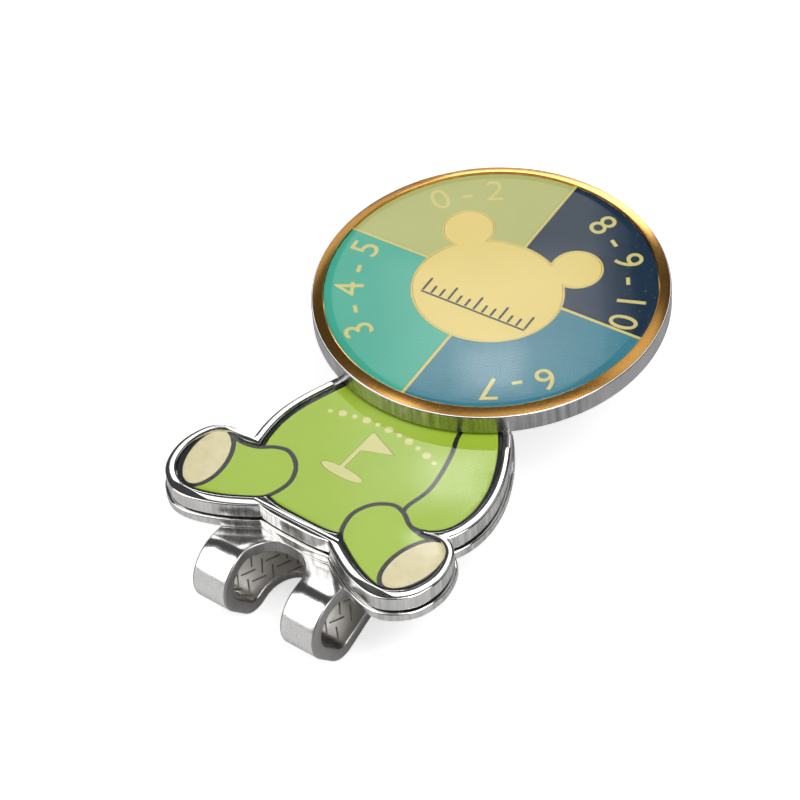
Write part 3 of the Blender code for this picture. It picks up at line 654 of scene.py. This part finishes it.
def length_at(y, low, high):
    """The length along the strip, between two lengths, at which its centre line reaches y."""
    rising = strip_at(high)[0].x > strip_at(low)[0].x
    for _ in range(40):
        middle = (low + high) / 2
        if (strip_at(middle)[0].x < y) == rising:
            low = middle
        else:
            high = middle
    return (low + high) / 2


HEEL_END = sum(length for length, _, _ in STRIP_MOVES[:5])
SLOT_START = length_at(SLOT_TOP_Y, 0.0, STRIP_RUN)
SLOT_END = length_at(SLOT_LOWER_Y, HEEL_END, STRIP_LENGTH)
UPPER_SEAM = STRIP_RUN - 0.25 * MM
LOWER_SEAM = sum(length for length, _, _ in STRIP_MOVES[:3]) + 0.9 * MM


def slot_half_at(s):
    """Half the slot's width at a length along the strip."""
    if s <= SLOT_START or s >= SLOT_END:
        return 0.0
    y = strip_at(s)[0].x
    end = SLOT_TOP_Y if s < (SLOT_START + SLOT_END) / 2 else SLOT_LOWER_Y
    past = y - (end - SLOT_HALF)
    return SLOT_HALF if past <= 0 else math.sqrt(max(0.0, SLOT_HALF ** 2 - past ** 2))


def strip_stations(start, end):
    """Lengths to cut the strip at, close together in its bends and at the slot's round ends."""
    marks = {start, end}
    done = 0.0
    for length, radius, turn in STRIP_MOVES:
        pace = math.radians(5.0) * radius if radius else 0.6 * MM
        steps = max(1, math.ceil(length / pace))
        marks.update(done + length * step / steps for step in range(steps + 1))
        done += length
    for step in range(13):
        reach = SLOT_HALF * math.cos(math.pi / 2 * step / 12)
        marks.add(length_at(SLOT_TOP_Y - SLOT_HALF + reach, 0.0, STRIP_RUN + 1.5 * MM))
        marks.add(length_at(SLOT_LOWER_Y - SLOT_HALF + reach, HEEL_END - 1.5 * MM, STRIP_LENGTH))
    for tip in (0.0, STRIP_LENGTH):
        for step in range(7):
            marks.add(abs(tip - 0.9 * MM * (1 - math.sin(math.pi / 2 * step / 6))))
    marks |= {SLOT_START, SLOT_END}
    ordered = [mark for mark in sorted(marks) if start <= mark <= end]
    fixed = {start, end, SLOT_START, SLOT_END}
    kept = [ordered[0]]
    for mark in ordered[1:]:
        if mark - kept[-1] > 0.03 * MM:
            kept.append(mark)
        elif mark in fixed and len(kept) > 1:
            kept[-1] = mark
    return kept


def strip_section(s):
    """One side's cross-section at s, as (x, t) points round from the slot's outer face edge."""
    inner = slot_half_at(s)
    edge = 0.15 * MM
    slot_edge = min(edge, inner * 0.5)
    tip = min(s, STRIP_LENGTH - s)
    corner = 0.9 * MM
    outer = STRIP_HALF_WIDTH
    if tip < corner:
        outer -= corner - math.sqrt(max(0.0, corner ** 2 - (corner - tip) ** 2))
    half = STRIP_HALF
    if tip < edge:
        half -= edge - math.sqrt(max(0.0, edge ** 2 - (edge - tip) ** 2))
    start, stop = inner + slot_edge, outer - edge
    flats = [start + (stop - start) * share for share in (0.0, 0.25, 0.5, 0.75, 1.0)]
    points = [(x, -half) for x in flats]
    for step in range(1, 4):
        angle = math.pi / 2 * step / 4
        points.append((stop + edge * math.sin(angle), -half + edge * (1 - math.cos(angle))))
    points += [(outer, -half + edge), (outer, half - edge)]
    for step in range(3, 0, -1):
        angle = math.pi / 2 * step / 4
        points.append((stop + edge * math.sin(angle), half - edge * (1 - math.cos(angle))))
    points += [(x, half) for x in flats[::-1]]
    for step in range(1, 4):
        angle = math.pi / 2 * step / 4
        points.append((start - slot_edge * math.sin(angle), half - slot_edge * (1 - math.cos(angle))))
    points += [(inner, half - slot_edge), (inner, -half + slot_edge)]
    for step in range(3, 0, -1):
        angle = math.pi / 2 * step / 4
        points.append((start - slot_edge * math.sin(angle), -half + slot_edge * (1 - math.cos(angle))))
    return points


def strip_kind(column):
    """The material of a column of the strip's faces: 0 outside, 1 edges, 2 inside."""
    if column in OUTSIDE_COLUMNS:
        return 0
    return 2 if column in INSIDE_COLUMNS else 1


def make_strip(name, start, end):
    """A length of the clip's strip, closed at both ends."""
    shell = Shell()
    stations = strip_stations(start, end)
    for side in (1.0, -1.0):
        rings = []
        for s in stations:
            first = len(shell.points)
            section = strip_section(s)
            shell.points += [on_strip(x * side, s, t) for x, t in section]
            rings.append(list(range(first, len(shell.points))))
        columns = len(rings[0])
        for (s0, low), (s1, high) in zip(zip(stations, rings), zip(stations[1:], rings[1:])):
            slotted = slot_half_at((s0 + s1) / 2) > 0
            for column in range(columns):
                if column in SLOT_COLUMNS and not slotted:
                    continue
                after = (column + 1) % columns
                corners = [low[column], low[after], high[after], high[column]]
                shell.face(corners if side > 0 else corners[::-1], strip_kind(column))
        shell.face(rings[0], 1)
        shell.face(rings[-1], 1)
    return shell.built(name, [CHROME, EDGE, SHADED_SATIN], weld=0.002 * MM, sharp=40.0)


def make_clip():
    shank = make_strip("clip_shank", 0.0, UPPER_SEAM)
    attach(shank, "holder")
    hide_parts("clip_root")
    lower = make_strip("clip_lower", LOWER_SEAM, STRIP_LENGTH)
    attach(lower, "tongue")
    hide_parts("clip_tongue")
    bend = make_strip("clip_bend", UPPER_SEAM, LOWER_SEAM)
    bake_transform(bend)


def add_grip_bar(shell, x, s, lean):
    """One raised bar on the strip's inside, turned by lean from the strip's length."""
    half_length, half_width, rise = 0.50 * MM, 0.055 * MM, 0.040 * MM
    rings = []
    for inset, level in ((0.0, -0.02 * MM), (0.0, rise * 0.6), (half_width * 0.5, rise)):
        ring = []
        for step in range(12):
            angle = 2 * math.pi * (step + 0.5) / 12
            reach = half_width - inset
            along = math.copysign(half_length, math.cos(angle)) + reach * math.cos(angle)
            across = reach * math.sin(angle)
            dx = along * math.sin(lean) + across * math.cos(lean)
            ds = along * math.cos(lean) - across * math.sin(lean)
            ring.append(len(shell.points))
            shell.points.append(on_strip(x + dx, s + ds, STRIP_HALF + level))
        rings.append(ring)
    for low, high in zip(rings, rings[1:]):
        shell.wall(low, high)
    shell.face(rings[0])
    shell.face(rings[-1])


def make_grip_marks():
    """Short raised grip bars in staggered rows on the inside of the sprung half."""
    shell = Shell()
    limit = STRIP_HALF_WIDTH - 0.75 * MM
    s = LOWER_SEAM + 0.8 * MM
    odd = False
    while s < STRIP_LENGTH - 1.6 * MM:
        x = -limit + (0.35 * MM if odd else 0.0)
        while x < limit:
            if abs(x) - 0.6 * MM > slot_half_at(s):
                add_grip_bar(shell, x, s, GRIP_LEAN if odd else -GRIP_LEAN)
            x += GRIP_SPACING
        odd = not odd
        s += GRIP_ROW
    piece = shell.built("clip_grip_bars", [SHADED_MARKS], weighted=False)
    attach(piece, "tongue")


# ---------------------------------------------------------------- the marker

def to_disc(x, y):
    """A point of the marker's face, from its own axes to the row's."""
    turn = Matrix.Rotation(MARKER_TURN, 2)
    return DISC_CENTRE + turn @ Vector((x, y))


def make_marker_cup():
    """The steel cup: a polished wall with a thin bright lip round the face."""
    shell = Shell()
    round_edge = 0.12 * MM
    outer = DISC_RADIUS
    profile = [(0.0, 0.0)]
    profile += arc_points((outer - round_edge, round_edge), round_edge, -90.0, 0.0, 6)
    top = 0.09 * MM
    profile += arc_points((outer - top, CUP_WALL - top), top, 0.0, 90.0, 6)
    profile += arc_points((LIP_INNER + 0.05 * MM, CUP_WALL - 0.05 * MM), 0.05 * MM, 90.0, 180.0, 4)
    profile += [(LIP_INNER, CUP_FLOOR), (0.0, CUP_FLOOR)]
    turned_into(shell, profile, 192, DISC_CENTRE, DISC_BOTTOM)
    piece = shell.built("marker_cup", [SHADED_STEEL])
    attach(piece, "marker")
    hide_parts("marker_base")


def add_bar(shell, start, end, half):
    """A crowned printed line between two points of the face."""
    along = (end - start).normalized()
    across = Vector((-along.y, along.x))
    section = (
        (-half, FACE_FLOOR), (-half, DIVIDER_TOP - 0.02 * MM), (-half * 0.5, DIVIDER_TOP),
        (half * 0.5, DIVIDER_TOP), (half, DIVIDER_TOP - 0.02 * MM), (half, FACE_FLOOR),
    )
    ends = []
    for point in (start, end):
        first = len(shell.points)
        for offset, level in section:
            spot = to_disc(*(point + across * offset))
            shell.points.append((spot.x, spot.y, DISC_BOTTOM + level))
        ends.append(list(range(first, len(shell.points))))
    shell.wall(*ends, kind=1)
    shell.face(ends[0], 1)
    shell.face(ends[1], 1)


def make_marker_gilt():
    """The gilt face: its raised rim, its floor, the crossing lines and the line round the bear's head."""
    shell = Shell()
    outer = LIP_INNER - 0.02 * MM
    crest = RIM_INNER + 0.06 * MM
    profile = [(0.0, FACE_FLOOR), (RIM_INNER, FACE_FLOOR), (RIM_INNER, RIM_CREST - 0.06 * MM)]
    profile += [(RIM_INNER + 0.02 * MM, RIM_CREST - 0.02 * MM), (crest, RIM_CREST)]
    for step in range(1, 11):
        share = step / 10
        fall = 0.8 * share + 0.2 * share ** 2
        profile.append((crest + (outer - crest) * share, RIM_CREST - RIM_FALL * fall))
    profile += [(outer, CUP_FLOOR + 0.04 * MM), (0.0, CUP_FLOOR + 0.04 * MM)]
    turned_into(shell, profile, 192, DISC_CENTRE, DISC_BOTTOM)
    line_half = 0.11 * MM
    reach = RIM_INNER + 0.05 * MM
    rise = DIVIDER_RISE
    for start, end in (
        (Vector((5.2 * MM, rise)), Vector((reach, rise))),
        (Vector((-5.3 * MM, rise)), Vector((-reach, rise))),
        (Vector((0.0, 4.4 * MM)), Vector((0.0, reach))),
        (Vector((0.0, -5.1 * MM)), Vector((0.0, -reach))),
    ):
        add_bar(shell, start, end, line_half)
    patch = flat_loops("uv_patch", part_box("uv_patch")[1].z)[0]
    outline = refined(patch, 0.25 * MM)
    shoulder = DIVIDER_TOP - 0.015 * MM
    near, far = 0.035 * MM, 0.145 * MM
    section = (
        (near, FACE_FLOOR), (near, shoulder), (near * 2, DIVIDER_TOP),
        (far - near, DIVIDER_TOP), (far, shoulder), (far, FACE_FLOOR),
    )
    rings = [shell.ring(shifted(outline, gap), DISC_BOTTOM + level) for gap, level in section]
    for low, high in zip(rings, rings[1:] + rings[:1]):
        shell.wall(low, high, kind=2)
    piece = shell.built("marker_gilt", [GILT, PRINT, PATCH])
    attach(piece, "marker")
    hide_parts("marker_face")


def make_marker_resin():
    """The clear dome poured over the face, drawn down at the rim."""
    shell = Shell()
    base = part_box("marker_dome")[0].z - DISC_BOTTOM
    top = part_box("marker_dome")[1].z - DISC_BOTTOM
    radius = RIM_INNER - 0.04 * MM
    shoulder = base + 0.085 * MM
    profile = [(0.0, base), (radius, base), (radius, base + 0.02 * MM)]
    profile += [(radius - 0.04 * MM, base + 0.045 * MM), (radius - 0.11 * MM, base + 0.066 * MM)]
    edge = radius - 0.22 * MM
    for step in range(24, 0, -1):
        reach = edge * step / 24
        profile.append((reach, shoulder + (top - shoulder) * (1.0 - (reach / edge) ** 2)))
    profile.append((0.0, top))
    turned_into(shell, profile, 160, DISC_CENTRE, DISC_BOTTOM)
    piece = shell.built("marker_resin", [RESIN], weighted=False)
    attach(piece, "marker")
    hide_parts("marker_dome")


def glyph_mesh(character, size):
    """One numeral as a flat, slightly thick mesh centred on its baseline."""
    curve = bpy.data.curves.new("glyph", "FONT")
    curve.body = character
    curve.size = size
    curve.align_x = "CENTER"
    curve.extrude = 0.008 * MM
    curve.resolution_u = 4
    obj = bpy.data.objects.new("glyph", curve)
    bpy.context.scene.collection.objects.link(obj)
    bpy.context.view_layer.update()
    graph = bpy.context.evaluated_depsgraph_get()
    mesh = bpy.data.meshes.new_from_object(obj.evaluated_get(graph))
    bpy.data.objects.remove(obj)
    return mesh


def joined(name, parts, material):
    """One piece from several (mesh, matrix) pairs."""
    work = bmesh.new()
    for mesh, place in parts:
        copy = mesh.copy()
        copy.transform(place)
        work.from_mesh(copy)
        bpy.data.meshes.remove(copy)
    bmesh.ops.remove_doubles(work, verts=work.verts, dist=0.0005 * MM)
    bmesh.ops.recalc_face_normals(work, faces=work.faces)
    mesh = bpy.data.meshes.new(name)
    work.to_mesh(mesh)
    work.free()
    mesh.materials.clear()
    mesh.materials.append(material)
    piece = bpy.data.objects.new(name, mesh)
    bpy.context.scene.collection.objects.link(piece)
    return piece


def make_level_numbers():
    """The scale's numerals, set round each quarter of the face."""
    size = 2.95 * MM
    radius = 8.85 * MM
    level = DISC_BOTTOM + INK_TOP + 0.012 * MM
    rows = (("0-2", 131.0, 11.5), ("3-4-5", 209.0, 12.2), ("6-7", 312.0, 11.5), ("8-9-10", 38.0, 12.0))
    parts = []
    for text, middle, pace in rows:
        for number, character in enumerate(text):
            angle = math.radians(middle + ((len(text) - 1) / 2 - number) * pace)
            spot = to_disc(radius * math.cos(angle), radius * math.sin(angle))
            turn = Matrix.Rotation(angle + MARKER_TURN - math.pi / 2, 4, "Z")
            parts.append((glyph_mesh(character, size), Matrix.Translation((spot.x, spot.y, level)) @ turn))
    piece = joined("level_numbers", parts, PRINT)
    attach(piece, "marker")


def capsule(shell, start, end, half, bottom, top, place, steps=14):
    """A thin printed stroke with round ends."""
    along = (end - start).normalized() if (end - start).length > 1e-9 else Vector((1.0, 0.0))
    across = Vector((-along.y, along.x))
    rings = []
    for level in (bottom, top):
        loop = []
        for step in range(steps):
            angle = 2 * math.pi * (step + 0.5) / steps
            anchor = end if math.cos(angle) > 0 else start
            point = anchor + along * half * math.cos(angle) + across * half * math.sin(angle)
            loop.append(place(*point))
        rings.append(shell.ring(loop, level))
    shell.wall(*rings)
    shell.face(rings[0])
    shell.face(rings[1])


def make_head_scale():
    """A plain tick scale printed across the bear's head."""
    shell = Shell()
    bottom = DISC_BOTTOM + INK_TOP + 0.004 * MM
    top = bottom + 0.016 * MM
    left, right, low = -4.05 * MM, 4.15 * MM, -2.55 * MM
    capsule(shell, Vector((left, low)), Vector((right, low)), 0.07 * MM, bottom, top, to_disc)
    for tick in range(13):
        x = left + (right - left) * tick / 12
        rise = (1.15 if tick % 3 == 0 else 0.62) * MM
        foot = Vector((x, low + 0.2 * MM))
        capsule(shell, foot, foot + Vector((0.0, rise)), 0.085 * MM, bottom, top, to_disc)
    piece = shell.built("head_scale", [INK], weighted=False)
    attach(piece, "marker")


def make_chest_dots():
    """A plain curved row of printed dots across the bear's chest."""
    shell = Shell()
    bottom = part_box("torso_enamel")[1].z + 0.004 * MM
    top = bottom + 0.014 * MM
    centre = Vector((SEAT_X, DISC_CENTRE.y - 26.1 * MM))
    for number in range(11):
        angle = math.radians(90.0 + (number - 5) * 4.1)
        point = centre + Vector((math.cos(angle), math.sin(angle))) * 12.6 * MM
        half = (0.30 if number % 2 else 0.19) * MM
        capsule(shell, point, point, half, bottom, top, lambda x, y: Vector((x, y)), 20)
    piece = shell.built("chest_dots", [SCRIPT], weighted=False)
    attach(piece, "holder")


# ---------------------------------------------------------------- finishes on the CAD's own parts

def paint_nodes():
    finishes = {
        "torso_enamel": GREEN, "right_arm_enamel": GREEN, "right_leg_enamel": GREEN,
        "left_leg_enamel": GREEN, "right_foot_pad": CREAM, "left_foot_pad": CREAM,
        "emblem_inlay": SCRIPT, "outline_inlay": INK, "magnet": MAGNET, "bond_film": FILM,
        "low_sector": OLIVE, "moderate_sector": TEAL, "high_sector": BLUE,
        "very_high_sector": NAVY, "uv_patch": PATCH,
    }
    finishes.update({f"clip_rivet_{number}": RIVET for number in range(1, 5)})
    for name, material in finishes.items():
        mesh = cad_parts[name].data
        mesh.materials.clear()
        mesh.materials.append(material)


# ---------------------------------------------------------------- floor, lamps and camera

def make_floor():
    """A plain pale floor. Lamps and metal see it a little darker than the eye does."""
    material, tree, shader = new_material("floor")
    tone = mix_colour(tree, noise(tree, 30.0), (0.90, 0.90, 0.90), (0.93, 0.93, 0.93))
    tree.links.new(tone, shader.inputs["Base Color"])
    shader.inputs["Roughness"].default_value = 0.9
    shader.inputs["Specular IOR Level"].default_value = 0.0
    shader.inputs["Emission Color"].default_value = (1.0, 1.0, 1.0, 1.0)
    shader.inputs["Emission Strength"].default_value = 0.55
    output = next(node for node in tree.nodes if node.type == "OUTPUT_MATERIAL")
    seen = add(tree, "ShaderNodeLightPath").outputs["Is Camera Ray"]
    plain = add(tree, "ShaderNodeBsdfDiffuse", {"Color": (0.64, 0.64, 0.64, 1.0)}).outputs[0]
    mixed = add(tree, "ShaderNodeMixShader", {0: seen, 1: plain, 2: shader.outputs[0]})
    tree.links.new(mixed.outputs[0], output.inputs["Surface"])
    mesh = bpy.data.meshes.new("floor")
    reach = 6.0
    corners = [(-reach, -reach, 0), (reach, -reach, 0), (reach, reach, 0), (-reach, reach, 0)]
    mesh.from_pydata(corners, [], [(0, 1, 2, 3)])
    mesh.materials.append(material)
    floor = bpy.data.objects.new("floor", mesh)
    floor.location.z = -0.02 * MM
    bpy.context.scene.collection.objects.link(floor)


def softbox(name, direction, distance, width, height, radiance):
    """A rectangular lamp that looks at the object. radiance is how bright its face is."""
    lamp = bpy.data.lights.new(name, "AREA")
    lamp.shape = "RECTANGLE"
    lamp.size, lamp.size_y = width, height
    lamp.energy = radiance * width * height * math.pi
    obj = bpy.data.objects.new(name, lamp)
    towards = Vector(direction).normalized()
    obj.location = LAMP_AIM + towards * distance
    obj.rotation_euler = towards.to_track_quat("Z", "Y").to_euler()
    obj.visible_camera = False
    bpy.context.scene.collection.objects.link(obj)


def view_axes():
    """The main view's back, right and up directions, with its roll left out."""
    azimuth, elevation = math.radians(CAMERA_AZIMUTH), math.radians(CAMERA_ELEVATION)
    flat = math.cos(elevation)
    back = Vector((math.sin(azimuth) * flat, -math.cos(azimuth) * flat, math.sin(elevation)))
    right = (-back).cross(Vector((0.0, 0.0, 1.0))).normalized()
    return back, right, right.cross(-back)


def mirrored_way(across, rise):
    """The way a flat top mirrors the view, turned by degrees to its right and upwards."""
    back, right, _ = view_axes()
    way = Vector((-back.x, -back.y, back.z))
    lift = right.cross(way)
    return way + right * math.tan(math.radians(across)) + lift * math.tan(math.radians(rise))


def make_lamps():
    for number, (across, rise, width, height, radiance) in enumerate(BACK_PANEL):
        distance = BACK_PANEL_DISTANCE - BACK_PANEL_STEP * number
        softbox(f"back_{number}", mirrored_way(across, rise), distance, width, height, radiance)
    softbox("low_box", (-0.46, 0.86, 0.24), 0.60, 0.30, 0.14, 4.0)
    softbox("front_box", (-0.46, -0.62, 0.63), 0.70, 0.50, 0.95, 2.0)
    softbox("right_box", (0.85, -0.30, 0.42), 0.70, 0.36, 0.30, 2.2)
    softbox("left_box", (-0.81, 0.45, 0.25), 0.70, 0.40, 0.20, 0.6)
    softbox("fill_box", (0.15, 0.60, 0.80), 0.70, 0.25, 0.25, 0.7)
    softbox("top_box", (0.50, -0.05, 0.86), 0.80, 0.52, 0.52, 4.3)
    softbox("over_box", (0.10, -0.10, 0.99), 0.75, 0.30, 0.30, 0.6)
    world = bpy.data.worlds.new("studio")
    world.use_nodes = True
    tree = world.node_tree
    seen = add(tree, "ShaderNodeLightPath").outputs["Is Camera Ray"]
    tone = mix_colour(tree, seen, (0.05, 0.05, 0.052), (0.97, 0.97, 0.97))
    tree.links.new(tone, tree.nodes["Background"].inputs["Color"])
    bpy.context.scene.world = world


def make_camera():
    """Looks down on the object from the front right, with a long lens."""
    roll = math.radians(CAMERA_ROLL)
    back, right, up = view_axes()
    across = right * math.cos(roll) + up * math.sin(roll)
    rise = up * math.cos(roll) - right * math.sin(roll)
    data = bpy.data.cameras.new("camera")
    data.sensor_width = 36.0
    data.lens = CAMERA_LENS
    data.clip_start = 0.01
    camera = bpy.data.objects.new("camera", data)
    turn = Matrix((across, rise, back)).transposed().to_4x4()
    camera.matrix_world = Matrix.Translation(CAMERA_TARGET + back * CAMERA_DISTANCE) @ turn
    bpy.context.scene.collection.objects.link(camera)
    bpy.context.scene.camera = camera


def main():
    bpy.context.scene.view_settings.view_transform = "Standard"
    make_holder_plate()
    make_holder_backing()
    make_holder_resin()
    make_clip()
    make_grip_marks()
    make_marker_cup()
    make_marker_gilt()
    make_marker_resin()
    make_level_numbers()
    make_head_scale()
    make_chest_dots()
    paint_nodes()
    make_floor()
    make_lamps()
    make_camera()


main()
